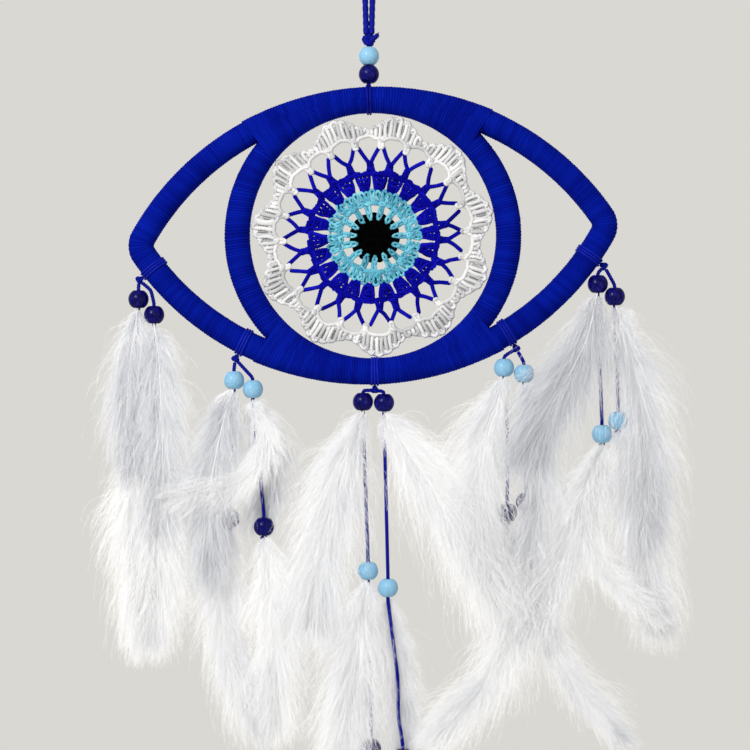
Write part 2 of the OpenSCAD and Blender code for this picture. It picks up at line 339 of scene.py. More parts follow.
def cotton(name, dark, mid, light, twist=(0.9, 3.0, 1.0), rough=0.82, fuzz=0.3, spec=0.03):
    """Cotton: tone varies from yarn to yarn, with fine twisted fibres over it; the vertex tone also carries
    painted shade, in the grooves of the wound yarn and on the dark back threads of the crochet.
    """
    mat, tree, shader = material(name, rough=rough, spec=spec)
    tone = tree.tone()
    broad = tree.noise(60, 3, vector=tree.coords("Object", (1, 1, 1)))
    fibre = tree.noise(3.5, 5, 0.65, tree.coords("UV", twist), dist=0.4)
    tone = tree.mixed(tone, 0.5)
    wide = tree.mixed(broad, 0.25)
    fine = tree.mixed(fibre, 0.25)
    total = tree.mixed(tree.mixed(tone, wide, "ADD"), fine, "ADD")
    colour = tree.ramp(total, [(0.28, dark), (0.5, mid), (0.74, light)])
    tree.links.new(colour, shader.inputs["Base Color"])
    tree.bump(shader, fibre, fuzz, 0.00025)
    return mat


def wood(name, dark, mid, light, coat, rough, grain):
    """Turned wood under lacquer: rings across the bead, pores along it."""
    mat, tree, shader = material(name, rough=rough, coat=coat, spec=0.03)
    place = tree.coords("Object", (1, 1, 0.35))
    rings = tree.noise(900, 3, 0.5, place, dist=1.2)
    pores = tree.noise(5200, 2, 0.5, tree.coords("Object", (1, 1, 0.12)))
    rings = tree.mixed(rings, 0.7)
    both = tree.mixed(rings, tree.mixed(pores, 0.3), "ADD")
    colour = tree.ramp(both, [(0.36, dark), (0.5, mid), (0.66, light)])
    tree.links.new(colour, shader.inputs["Base Color"])
    tree.bump(shader, both, 0.12 * grain, 0.0002)
    return mat


def down(name):
    """Feather down: white, its darker tones a little blue for painted shade, and lit through."""
    mat, tree, shader = material(name, rough=0.7, sheen=0.1, spec=0.1)
    tone = tree.tone()
    fine = tree.noise(700, 3, vector=tree.coords("Object", (1, 1, 0.3)))
    tone = tree.mixed(tone, 0.75)
    total = tree.mixed(tone, tree.mixed(fine, 0.25), "ADD")
    # The darker stops, a little blue, are painted shade for feathers and tufts in shade.
    stops = [(0.2, (0.76, 0.77, 0.80)), (0.45, (0.935, 0.94, 0.955)), (0.7, (0.985, 0.986, 0.99))]
    colour = tree.ramp(total, stops)
    tree.links.new(colour, shader.inputs["Base Color"])
    through = tree.nodes.new("ShaderNodeBsdfTranslucent")
    tree.links.new(colour, through.inputs["Color"])
    mix = tree.nodes.new("ShaderNodeMixShader")
    mix.inputs["Fac"].default_value = 0.45
    tree.links.new(shader.outputs["BSDF"], mix.inputs[1])
    tree.links.new(through.outputs["BSDF"], mix.inputs[2])
    tree.links.new(mix.outputs["Shader"], tree.nodes["Material Output"].inputs["Surface"])
    return mat


def drawn_wire(name):
    """Plain steel wire, with faint draw marks."""
    mat, tree, shader = material(name, rough=0.38)
    shader.inputs["Metallic"].default_value = 1.0
    marks = tree.noise(400, 4, vector=tree.coords("Object", (1, 1, 1)))
    colour = tree.ramp(marks, [(0.3, (0.42, 0.43, 0.45)), (0.7, (0.62, 0.63, 0.65))])
    tree.links.new(colour, shader.inputs["Base Color"])
    tree.bump(shader, marks, 0.15, 0.0002)
    return mat


def floor_paint(name):
    """Pale paint, hardly mottled."""
    mat, tree, shader = material(name, rough=0.8)
    grain = tree.noise(60, 4)
    colour = tree.ramp(grain, [(0.3, (0.74, 0.73, 0.70)), (0.7, (0.78, 0.77, 0.74))])
    tree.links.new(colour, shader.inputs["Base Color"])
    return mat


# Each is a dark, a middle and a light tone.
WRAP_TONES = (0.0003, 0.0008, 0.043), (0.0006, 0.0038, 0.155), (0.0016, 0.0112, 0.295)
SATIN_TONES = (0.0006, 0.0016, 0.07), (0.0013, 0.0044, 0.19), (0.004, 0.014, 0.36)
BLACK_TONES = (0.0004, 0.0004, 0.0004), (0.0008, 0.0008, 0.001), (0.002, 0.002, 0.0025)
PALE_TONES = (0.02, 0.11, 0.18), (0.09, 0.35, 0.46), (0.27, 0.64, 0.74)
BLUE_TONES = (0.0008, 0.001, 0.09), (0.0016, 0.0016, 0.24), (0.007, 0.008, 0.43)
WHITE_TONES = (0.24, 0.24, 0.25), (0.56, 0.56, 0.565), (0.82, 0.82, 0.82)
NAVY_TONES = (0.0003, 0.0003, 0.02), (0.0009, 0.0007, 0.065), (0.014, 0.012, 0.24)
SKY_TONES = (0.165, 0.355, 0.52), (0.20, 0.40, 0.57), (0.25, 0.455, 0.62)

WRAP = cotton("wound_yarn", *WRAP_TONES, twist=(1.0, 40.0, 1.0), spec=0.012)
SATIN = cotton("satin_cord", *SATIN_TONES, twist=(0.5, 6.0, 1.0), rough=0.5, spec=0.05)
BLACK = cotton("black_cotton", *BLACK_TONES, spec=0.0)
PALE = cotton("pale_cotton", *PALE_TONES)
BLUE = cotton("blue_cotton", *BLUE_TONES)
WHITE = cotton("white_cotton", *WHITE_TONES, fuzz=0.12)
NAVY_WOOD = wood("navy_wood", *NAVY_TONES, coat=0.12, rough=0.32, grain=1.0)
PALE_WOOD = wood("pale_wood", *SKY_TONES, coat=0.2, rough=0.34, grain=0.5)
DOWN = down("feather_down")
WIRE = drawn_wire("steel_wire")


# ---------------- camera

VIEW_CENTRE = put([1.0, 0.0, -68.0])
VIEW_WIDTH = 366 * MM
CAMERA_AWAY = 0.95
SENSOR = 36

camera_data = bpy.data.cameras.new("camera")
camera = linked("camera", camera_data)
camera.location = Vector(VIEW_CENTRE) + Vector((0, -CAMERA_AWAY, 0))
camera.rotation_euler = (math.pi / 2, 0, 0)
camera_data.sensor_width = SENSOR
camera_data.lens = SENSOR * CAMERA_AWAY / VIEW_WIDTH
bpy.context.scene.camera = camera


# ---------------- cords

# Where a strand's cord bows: before its first bead (-1), or after bead 0 or 1.
SLACK = {
    ("left_tip_right", -1): [[-108.4, 0, -26.5]],
    ("bottom_right", 1): [[9.5, 0, -195], [12, 0, -215], [12.5, 0, -235]],
    ("lower_right_left", 0): [[65.2, 0, -88], [65.8, 0, -112]],
}
TASSELS = ("left_tip", "lower_left", "bottom", "lower_right", "right_tip")
STRANDS = [(t, side, f"{t}_{side}") for t in TASSELS for side in ("left", "right")]
HOOK_X = -2.0
KNOT_R = 1.5
UP = np.array([0.0, 0.0, 1.0])


def smoothed(p, step, reach):
    """A line resampled to step, its corners rounded over that many steps each way."""
    line = resample(p, step)
    w = np.cos(np.arange(-reach, reach + 1) / (reach + 1) * np.pi / 2) ** 2
    head = 2 * line[0] - line[reach:0:-1]
    tail = 2 * line[-1] - line[-2 : -reach - 2 : -1]
    whole = np.concatenate([head, line, tail])
    return np.stack([np.convolve(whole[:, c], w / w.sum(), "valid") for c in range(3)], -1)


def trefoil(build, centre, size, radius, turn=0.0, tone=0.5):
    """A small overhand knot of cord round a point."""
    t = circle(72)
    x = np.sin(t) + 2 * np.sin(2 * t)
    z = np.cos(t) - 2 * np.cos(2 * t)
    c, s = math.cos(turn), math.sin(turn)
    p = np.stack([x * c - z * s, -1.2 * np.sin(3 * t), x * s + z * c], -1)
    line = p * size / 3 + centre
    r = twisted(line, radius, 10, 2, 2.8, 0.1)
    tube(build, line, r, 10, closed=True, tone=tone)


def beads_of(name):
    """The nodes of a strand's beads, from the top."""
    nodes = [f"{name}_{level}_bead" for level in ("upper", "lower", "end")]
    return [n for n in nodes if n in frame["nodes"]]


def strand_route(name, knot, beads):
    """The cord of a strand, from its knot down through its beads."""
    h = BEAD_H / 2
    route = [np.array(q, float) for q in SLACK.get((name, -1), [])] + [beads[0] + UP * (h + 1.2)]
    route.insert(0, knot + unit(route[0] - knot) * (KNOT_R + 0.4))
    for i, b in enumerate(beads):
        route += [b + UP * (h - 1), b - UP * (h - 1)]
        if i + 1 < len(beads):
            route.append(b - UP * (h + 2))
            route += [np.array(q, float) for q in SLACK.get((name, i), [])]
            route.append(beads[i + 1] + UP * (h + 2))
    return [*route, beads[-1] - UP * (h + 0.8)]


def add_cord(name, line, d, mat, body, pitch, plies, depth):
    """A laid cord along a line in mm."""
    build = Build()
    tube(build, line, twisted(line, 0.56 * d, 12, plies, pitch, depth), 12)
    return build.make(name, mat, body)


def turned_ring(build, r, z, angle, radius, cord_r, tone):
    """One turn of cord round the frame's tube, at an angle on the arc (r, z)."""
    a = math.radians(angle)
    centre = np.array([r * math.cos(a), 0, z + r * math.sin(a)])
    out = np.array([math.cos(a), 0, math.sin(a)])
    t = circle(110)[:, None]
    line = centre + radius * (np.cos(t) * out + np.sin(t) * np.array([0, 1.0, 0]))
    tube(build, line, twisted(line, cord_r, 10, 2, 3.2, 0.1), 10, closed=True, first=out, tone=tone)


def end_knot(name, place, body):
    """The small knot that holds a cord's last bead, with its cut end."""
    build = Build()
    trefoil(build, place, 1.35, 0.5, 0.4)
    tail = place + np.array([[0, 0, 0], [0.5, -0.4, -1.8], [0.9, -0.3, -3.2]])
    yarn(build, tail, 0.55)
    return build.make(name, SATIN, body)


# One side of the loop, from its knot up, as [x, z] from the line of the hook.
LOOP = [
    [-1.35, 98.5], [-1.4, 102], [-1.55, 108], [-1.8, 116],
    [-2.3, 126], [-2.9, 136], [-3.5, 146], [-3.9, 153],
]
HOOK_Z = 161.25 - 4
LOOP_ARC = [
    [4 * math.cos(math.radians(a)), HOOK_Z + 4 * math.sin(math.radians(a))]
    for a in range(150, 0, -30)
]


def hanging_loop():
    """The satin loop over the hook, from one side of its knot to the other."""
    half = [[HOOK_X + x, 0, z] for x, z in LOOP]
    back = [[HOOK_X - x, 0, z] for x, z in LOOP[::-1]]
    top = [[HOOK_X + x, 0, z] for x, z in LOOP_ARC]
    line = smoothed(half + top + back, 0.5, 5)
    return add_cord("loop_cord", line, LOOP_D, SATIN, "hanger", 7.0, 2, 0.07), line


def loop_knot():
    """The squarish knot under the loop, with its cut tail out to the right."""
    build = Build()
    centre = np.array([HOOK_X, 0, 95.4])
    trefoil(build, centre, 2.3, 1.2, 0.25)
    trefoil(build, centre + [0, 0.3, 0.2], 2.0, 1.15, 1.3)
    tail = centre + np.array([[1.4, -0.9, 0.2], [3.3, -1.0, 1.2], [4.3, -0.7, 2.9]])
    yarn(build, tail, 1.1, pitch=4, depth=0.08)
    for k in range(9):
        a = 2 * math.pi * k / 9
        root = tail[-1] + [0, 0.5 * math.cos(a), 0.5 * math.sin(a)]
        hair = np.stack([root, root + [0.7, 0.25 * math.cos(a), 0.3 + 0.25 * math.sin(a)]])
        tube(build, resample(hair, 0.2), 0.09, 5)
    return build.make("loop_knot", SATIN, "hanger")


def hanger_cord():
    """The pair of cords that runs from the knot through both beads to the eye."""
    build = Build()
    z = np.linspace(92.3, 73.9, 60)
    for k in (0, 1):
        a = 2 * np.pi * (z / 7.0 + k / 2)
        line = np.stack([HOOK_X + 0.48 * np.cos(a), 0.48 * np.sin(a), z], -1)
        tube(build, line, twisted(line, 0.55, 8, 2, 2.6, 0.1), 8)
    return build.make("hanger_cord", SATIN, "stem")


def hanger_turns():
    """The turns of cord that tie the stem to the top of the ring, and their knot."""
    build = Build()
    for k in (-1, 1):
        turned_ring(build, RING_R, 0, 90 + 1.73 + 0.61 * k, TUBE_R + 0.6, 0.55, 0.5)
    trefoil(build, np.array([HOOK_X, -0.4, 73.6]), 0.75, 0.42, 0.7)
    return build.make("hanger_turns", SATIN, "top_tie")


def make_hanger():
    """The loop with its knot, the doubled stem, the turns on the ring and two beads."""
    loop, line = hanging_loop()
    knot, stem, turns = loop_knot(), hanger_cord(), hanger_turns()
    nodes = ("hang_cord", "hang_knot", "hanger_stem", "hanger_tie")
    for piece, node in zip((loop, knot, stem, turns), nodes, strict=True):
        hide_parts(node)
    beads = [make_bead(f"hanger_{k}_bead", f"{k}_loop_bead", LOOP_BORE) for k in ("upper", "lower")]


def make_strands():
    """Each tassel's two cords, with their beads and the knot under the last bead."""
    for tassel, side, name in STRANDS:
        body = f"{name}_strand"
        nodes = beads_of(name)
        beads = [in_mm(middle(n)) for n in nodes]
        knot = in_mm(JOINTS[f"{name}_swing"]["pos_m"])
        line = smoothed(strand_route(name, knot, beads), 0.45, 5)
        piece = add_cord(f"{name}_twisted_cord", line, CORD_D, SATIN, body, 4.2, 3, 0.15)
        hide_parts(f"{name}_cord")
        going = [make_bead(n, body, CORD_BORE) for n in nodes]
        end = end_knot(f"{name}_end_knot", beads[-1] - UP * 5.6, body)


# Tassel, the arc (radius, z of its centre) it is tied on, and the angle on that arc.
TIES = (
    ("left_tip", ARC_R, ARC_Z, 215.6),
    ("lower_left", ARC_R, ARC_Z, 240.4),
    ("bottom", RING_R, 0, 268),
    ("lower_right", ARC_R, ARC_Z, 298.4),
    ("right_tip", ARC_R, ARC_Z, 322.4),
)


def make_ties():
    """Three turns of cord round the frame over each tassel, and the knot under them."""
    build = Build()
    for i, (_, r, z, angle) in enumerate(TIES):
        for k in (-1, 0, 1):
            turn = math.degrees(k * 1.35 / r)
            radius, tone = TUBE_R + 0.3 + 0.06 * k, 0.72 + 0.06 * (i % 3)
            turned_ring(build, r, z, angle + turn, radius, 0.58, tone)
        a = math.radians(angle)
        out = np.array([math.cos(a), 0, math.sin(a)])
        place = np.array([0, 0, z]) + out * (r + TUBE_R + 2.75)
        trefoil(build, place, 1.5, 0.72, 0.5 * i)
    build.verts = [tilted(verts) for verts in build.verts]
    piece = build.make("tassel_turns", SATIN, "eye")
    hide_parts("tassel_ties")


# ---------------- beads


def make_bead(node, body, bore):
    """A turned wooden bead with a bore and softly flattened ends."""
    flat_r = math.sqrt(BEAD_R**2 - (BEAD_H / 2) ** 2)
    polar = np.linspace(math.asin(flat_r / BEAD_R) + 0.03, math.pi / 2, 16)
    side = [(BEAD_R * math.sin(a), BEAD_R * math.cos(a)) for a in polar]
    top = BEAD_H / 2
    lip = [(bore + 0.25, top - 0.03), (flat_r * 0.75, top), (flat_r * 0.93, top - 0.02)]
    upper = [(bore, 0.0), (bore, top - 0.4), *lip, *side]
    lower = [(r, -z) for r, z in upper[::-1]]
    profile = np.array(upper + lower[1:-1])
    th = circle(56)
    r, z = profile[:, :1], np.repeat(profile[:, 1:], len(th), 1)
    verts = np.stack([r * np.cos(th), r * np.sin(th), z], -1)
    build = Build()
    build.add(verts + in_mm(middle(node)), grid_faces(len(profile), len(th), True)[:, ::-1])
    pale = node in PALE_BEADS
    piece = build.make(f"{node}_turned", PALE_WOOD if pale else NAVY_WOOD, body)
    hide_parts(node)
    return piece


# ---------------- wound frame


YARN_PITCH = 1.3
YARN_RIDGE = 0.3
STEP = 0.22


def section(half, sides):
    """Angles round a winding, and which of its two round ends each belongs to."""
    if np.max(half) == 0:
        return circle(sides), np.zeros(sides)
    cap = np.linspace(-np.pi / 2, np.pi / 2, sides // 2)
    flat = np.linspace(1, -1, 9)[1:-1]
    th = np.concatenate([cap, np.full(7, np.pi / 2), cap + np.pi, np.full(7, 1.5 * np.pi)])
    end = np.concatenate([np.ones(len(cap)), flat, -np.ones(len(cap)), -flat])
    return th, end


def turns_along(line, rng, closed):
    """How many turns a line takes, and how many lie behind each of its points."""
    n, s = len(line), lengths(line)
    if closed:
        turns = round((s[-1] + np.linalg.norm(line[0] - line[-1])) / YARN_PITCH)
        phase = np.arange(n) / n * turns
        place, rates = np.arange(n) / n * 2 * np.pi, (9, 20, 41)
    else:
        turns = int(s[-1] / YARN_PITCH)
        phase = s / YARN_PITCH
        place, rates = s, (1 / 9, 1 / 21, 1 / 47)
    wobble = sum(rng.uniform(0.1, 0.5) * np.sin(place * k + rng.uniform(0, 6)) for k in rates)
    return turns, phase + wobble


def wound(build, line, half, base, seed, closed=False, sides=28):
    """Yarn wound square round a tube, or round two tubes side by side.

    line lies in the XZ plane, and half is how far the section's two round ends lie from it.
    """
    rng = np.random.default_rng(seed)
    depth = np.array([0, 1.0, 0])
    across = np.cross(tangents(line, closed), depth)
    th, end = section(half, sides)
    n, m = len(line), len(th)
    u = np.arange(m) / m
    turns, behind = turns_along(line, rng, closed)
    sway = np.sin(2 * np.pi * u + 1.0)[None] * np.sin(lengths(line) / 17 + seed)[:, None]
    phase = behind[:, None] + u[None] + 0.35 * sway
    k = np.floor(phase).astype(int) % turns
    f = phase - np.floor(phase)
    r = base + YARN_RIDGE * np.sin(np.pi * f) ** 0.6 + rng.normal(0, 0.03, turns)[k]
    # Each turn gets its own tone at random, and on top of that each turn is painted lighter at its crest and
    # darker towards the grooves between turns: painted shade in the grooves.
    tone = rng.uniform(0.22, 0.42, turns)[k] + 0.42 * np.sin(np.pi * f) ** 0.5
    side = np.cos(th)[None] * r + end[None] * np.reshape(half, (-1, 1))
    ring = (np.sin(th)[None] * r)[..., None] * depth + side[..., None] * across[:, None]
    uvs = np.stack([phase, np.repeat(u[None], n, 0)], -1)
    build.add(tilted(line[:, None] + ring), grid_faces(n, m, closed), uvs, tone.reshape(-1))


def on_arc(r, z, start, stop):
    """Points [x, 0, z] on an arc in the XZ plane, angles in degrees."""
    n = int(abs(math.radians(stop - start)) * r / STEP) + 2
    a = np.radians(np.linspace(start, stop, n))
    return np.stack([r * np.cos(a), 0 * a, z + r * np.sin(a)], -1)


def wing_line(right):
    """The centre line of a wing: an upper arc, the bend at the corner and a lower arc."""
    corner_x = math.sqrt((ARC_R - CORNER_R) ** 2 - ARC_Z**2)
    corner_a = math.degrees(math.atan2(ARC_Z, corner_x))
    start = math.degrees(math.acos(46 / ARC_R))
    upper = on_arc(ARC_R, -ARC_Z, start, corner_a)
    bend = on_arc(CORNER_R, 0, corner_a, -corner_a) + [corner_x, 0, 0]
    lower = on_arc(ARC_R, ARC_Z, -corner_a, -start)
    line = resample(np.concatenate([upper, bend[1:-1], lower]), STEP)
    return line if right else line * [-1, 1, 1]


def binding(build, top, seed):
    """Where the outline meets the ring, one winding holds both tubes as far as the crotch."""
    a = np.radians(np.linspace(-48.2, 48.2, 540))
    outer = -ARC_Z * np.cos(a) + np.sqrt(ARC_R**2 - (ARC_Z * np.sin(a)) ** 2)
    mid, half = (outer + RING_R) / 2, np.maximum((outer - RING_R) / 2, 0.05)
    sign = 1 if top else -1
    line = np.stack([mid * np.sin(a), 0 * a, sign * mid * np.cos(a)], -1)
    wound(build, line, half, TUBE_R + 0.04, seed, sides=30)


def make_frame():
    """The wound ring and wings, the bindings where they meet, and the wires inside."""
    build = Build()
    wound(build, on_arc(RING_R, 0, 0, 360)[:-1], 0.0, TUBE_R - 0.2, 3, closed=True)
    ring = build.make("ring_wound", WRAP, "eye")
    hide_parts("ring_wrap")
    for right in (False, True):
        build = Build()
        wound(build, wing_line(right), 0.0, TUBE_R - 0.2, 5 + right)
        name = "right" if right else "left"
        piece = build.make(f"{name}_wing_wound", WRAP, "eye")
        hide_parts(f"{name}_wing_wrap")
    for top in (False, True):
        build = Build()
        binding(build, top, 11 + top)
        piece = build.make("upper_binding" if top else "lower_binding", WRAP, "eye")
    for node in ("ring_hoop", "left_wing_hoop", "right_wing_hoop"):
        frame["nodes"][node].data.materials.clear()
        frame["nodes"][node].data.materials.append(WIRE)


# ---------------- crochet

PEAK_A = 107.0
STALKS = 22
Y_STEP = 360 / STALKS
CROCHET_R = 58
FAN_POSTS = 143
RIM_STITCHES = 88


def spot(r, a, y=0.0):
    """A point of the crochet; its middle sits a little low and to the right."""
    give = max(0.0, 1 - r / CROCHET_R)
    a = math.radians(a)
    return np.array([r * math.cos(a) + 1.0 * give, y, r * math.sin(a) - 1.3 * give])


class Crochet:
    """Threads of one colour, placed stitch by stitch."""

    def __init__(self, seed, radius):
        self.build = Build()
        self.rng = np.random.default_rng(seed)
        self.radius = radius

    def thread(self, points, radius=None, jitter=0.14, tone=None):
        p = np.array([spot(*q) for q in points])
        p += self.rng.normal(0, jitter, p.shape) * [1, 0.6, 1]
        tone = self.rng.uniform(0.3, 0.7) if tone is None else tone
        yarn(self.build, tilted(p), radius or self.radius, tone, pitch=2.2)

    def post(self, r0, r1, a, spread0, spread1, wrap=True, y=0.0):
        """Two threads side by side from r0 out to r1, and one slanting over them."""
        lean = self.rng.normal(0, 0.25)
        for s in (-1, 1):
            mid = a + lean + s * (spread0 + spread1) * 0.45
            leg = [(r0, a + s * spread0, y - 0.2), ((r0 + r1) / 2, mid, y + 0.25 * s)]
            self.thread([*leg, (r1, a + s * spread1, y + 0.1)])
        if wrap:
            r = r0 + (r1 - r0) * self.rng.uniform(0.4, 0.62)
            w = math.degrees(1.15 / r)
            over = [(r - 0.9, a - w, y - 0.35), (r, a, y - 1.0), (r + 0.9, a + w, y - 0.35)]
            self.thread(over, self.radius * 0.9)

    def chain(self, r, start, n, width, y=-0.35):
        """A round of n chain stitches at radius r: two legs each, like a plait."""
        step = 360 / n
        for i in range(n):
            a = start + i * step
            for s in (-1, 1):
                leg = [
                    (r, a - 0.1 * step, y + 0.25),
                    (r + s * width, a + 0.45 * step, y - 0.3),
                    (r + s * width * 0.2, a + 1.15 * step, y - 0.1),
                ]
                self.thread(leg, jitter=0.08)


def black_round():
    """The pupil: posts from the middle out, two chains over them and a toothed edge."""
    c = Crochet(21, 0.95)
    for r, n in ((1.4, 8), (3.0, 12)):
        c.chain(r, 0, n, 0.5)
    for i in range(34):
        c.post(2.4, 10.4 + c.rng.uniform(-0.2, 0.4), i * 360 / 34, 3.0, 2.2, wrap=i % 2 == 0)
    c.chain(9.9, 0, 30, 0.55)
    c.chain(8.6, 4, 26, 0.6, y=0.4)
    for i in range(15):
        a = 4 + 24 * (i + 0.5)
        tooth = [(9.8, a - 5.5), (11.2, a - 4), (11.4, a + 4), (9.8, a + 5.5)]
        c.thread([(*q, -0.3) for q in tooth], 0.9)
    return c


def pale_post(c, a):
    """A post of the first pale round: a blunt pair of threads on a rounded foot."""
    lean = c.rng.normal(0, 1.2)
    for s in (-1, 1):
        foot = [(9.5, a + s * 1.6, -1.2), (10.3, a + s * 4.4, -1.0)]
        rise = [(13.0, 3.3, -0.6), (15.4, 3.2, -0.3), (16.9, 5.8, -0.3)]
        c.thread(foot + [(r, a + lean + s * w, y) for r, w, y in rise], 0.72)
    c.thread([(9.6, a - 2.8, -1.3), (9.1, a, -1.6), (9.6, a + 2.8, -1.3)], 0.74)
    c.thread([(11.4, a - 3.6, -0.9), (12.2, a, -1.7), (13.1, a + 3.6, -0.8)], 0.6)
    c.thread([(10.2, a, 0.7), (13.0, a + lean, 0.8), (16.6, a + lean, 0.4)], 0.9)


def pale_stitch(c, a, lobe):
    """A stitch of the second pale round: two legs, a slanting wrap, and a loop at its head."""
    far = 22.0 + 0.6 * lobe + c.rng.uniform(-0.4, 0.4)
    lean = c.rng.normal(0, 0.9)
    for s in (-1, 1):
        leg = [(16.9, a + s * 2.4, -0.4 - 0.2 * s), (18.6, a + s * 1.4, -0.9)]
        leg += [(20.4, a + lean + s * 2.0, -0.6), (far, a + lean + s * 2.9, -0.5)]
        c.thread(leg, c.rng.uniform(0.55, 0.68), jitter=0.2)
    head = [(far - 0.5, a - 3.6, -0.6), (far + 0.9, a + lean, -1.1), (far - 0.5, a + 3.6, -0.6)]
    c.thread(head, 0.62, jitter=0.2)
    c.thread([(18.0, a - 2.8, -0.8), (18.9, a, -1.5), (20.0, a + 2.8, -0.8)], 0.56, jitter=0.2)
    # A dark thread behind the stitch: painted shade in the gaps between stitches.
    c.thread([(17.2, a, 0.8), (20.0, a + lean, 0.9), (far, a + lean, 0.5)], 0.8, tone=0.12)


def pale_round():
    """Fifteen posts over the black edge, then two rows of stitches packed close."""
    c = Crochet(22, 0.66)
    for i in range(15):
        pale_post(c, 4 + 24 * i + c.rng.normal(0, 1.3))
    for i in range(30):
        a = 2 + 12 * i + c.rng.normal(0, 1.0)
        r = 16.7 + c.rng.normal(0, 0.25)
        over = [(r - 0.7, a - 6, -0.5), (r + 0.7, a - 2, -1.2), (r + 0.3, a + 7, -0.5)]
        under = [(r + 0.9, a - 7, -0.3), (r - 0.6, a + 1, -0.9), (r + 0.6, a + 6, -0.4)]
        c.thread(over, 0.62, jitter=0.2)
        c.thread(under, 0.62, jitter=0.2)
        # A dark thread behind the chain: painted shade in its openings.
        c.thread([(r - 0.2, a - 6, 0.7), (r + 0.2, a + 6, 0.7)], 0.8, tone=0.12)
    for i in range(50):
        a = PEAK_A + (i + 0.5) * 360 / 50 + c.rng.normal(0, 0.7)
        pale_stitch(c, a, math.cos(math.radians(22 * (a - PEAK_A))))
    return c


def blue_cluster(c, a, wide):
    """A cluster of the blue round: threads that spread from its foot, and wraps over them."""
    for k in (-1.5, -0.5, 0.5, 1.5):
        for y in (-0.9, 0.7):
            leg = [(22.6, a + k * 2.2, y * 0.6), (25.5, a + k * 3.1 * wide, y)]
            leg += [(28.5, a + k * 3.8 * wide, y), (31.4, a + k * 3.6 * wide, y * 0.8)]
            c.thread(leg, c.rng.uniform(0.7, 0.92), jitter=0.22)
    for r in (24.4, 26.4, 28.4, 30.2):
        w = (r - 18.5) * 0.52 * wide
        slant = c.rng.uniform(-0.5, 0.9)
        over = [(r - slant, a - w, -1.1), (r, a, -1.8), (r + slant, a + w, -1.1)]
        c.thread(over, 0.66, jitter=0.2)


def blue_stalk(c, a):
    """A Y stitch: a stem of two threads laid together, and its two arms."""
    fork = 36.4 + c.rng.uniform(-0.6, 0.7)
    for s in (-1, 1):
        stem = [(30.2, a + s * 3.9, -0.3), (33.0, a + s * 1.7, -0.5), (fork, a + s * 0.9, -0.2)]
        arm = [(fork - 1.6, a + s * 0.3, -0.5 * s), (fork, a + s * 0.9, -0.6)]
        c.thread(stem, 1.02)
        c.thread([*arm, (fork + 3.0, a + s * 3.6, -0.4), (43.9, a + s * 6.9, -0.2)], 0.98)
    c.thread([(fork - 1.2, a - 1.8, -0.8), (fork - 0.4, a, -1.5), (fork + 0.5, a + 1.8, -0.8)], 0.72)
    c.thread([(32.4, a - 2.2, -0.8), (33.1, a, -1.5), (34.0, a + 2.0, -0.8)], 0.72)


def blue_round():
    """Clusters that widen outwards, stitches over them, and a Y between each two."""
    c = Crochet(23, 0.85)
    for i in range(STALKS):
        axis = PEAK_A + (i + 0.5) * Y_STEP + c.rng.normal(0, 0.6)
        blue_cluster(c, axis, c.rng.uniform(0.92, 1.08))
        blue_stalk(c, PEAK_A + i * Y_STEP + c.rng.normal(0, 0.9))
    for i in range(2 * STALKS):
        a = PEAK_A + (i + 0.5) * Y_STEP / 2 + c.rng.normal(0, 0.5)
        r = 31.2 + c.rng.normal(0, 0.3)
        over = [(r - 0.9, a - 4.6, -0.4), (r + 0.7, a - 1, -1.2), (r + 0.2, a + 4.6, -0.4)]
        under = [(r + 0.8, a - 4.6, -0.3), (r - 0.5, a + 1, -0.9), (r + 0.6, a + 4.6, -0.4)]
        c.thread(over, 0.8, jitter=0.2)
        c.thread(under, 0.8, jitter=0.2)
        c.thread([(r - 0.6, a - 4.4, 0.7), (r + 0.3, a + 4.4, 0.7)], 0.8)
    return c


def arch_r(u):
    """The inner edge of the white rounds, u degrees from the axis of a Y stitch."""
    return 43.9 + 4.6 * max(0.0, 1 - (u / (Y_STEP / 2)) ** 2) ** 0.5


def rim_r(a):
    """The outer edge of the white rounds at an angle: 11 scallops."""
    v = abs((a - PEAK_A + Y_STEP) % (2 * Y_STEP) - Y_STEP)
    away = [0, 3, 6, 9, 12, 14.5, 16.4]
    return float(np.interp(v, away, [58.9, 58.4, 57.0, 55.0, 53.2, 52.3, 52.0]))


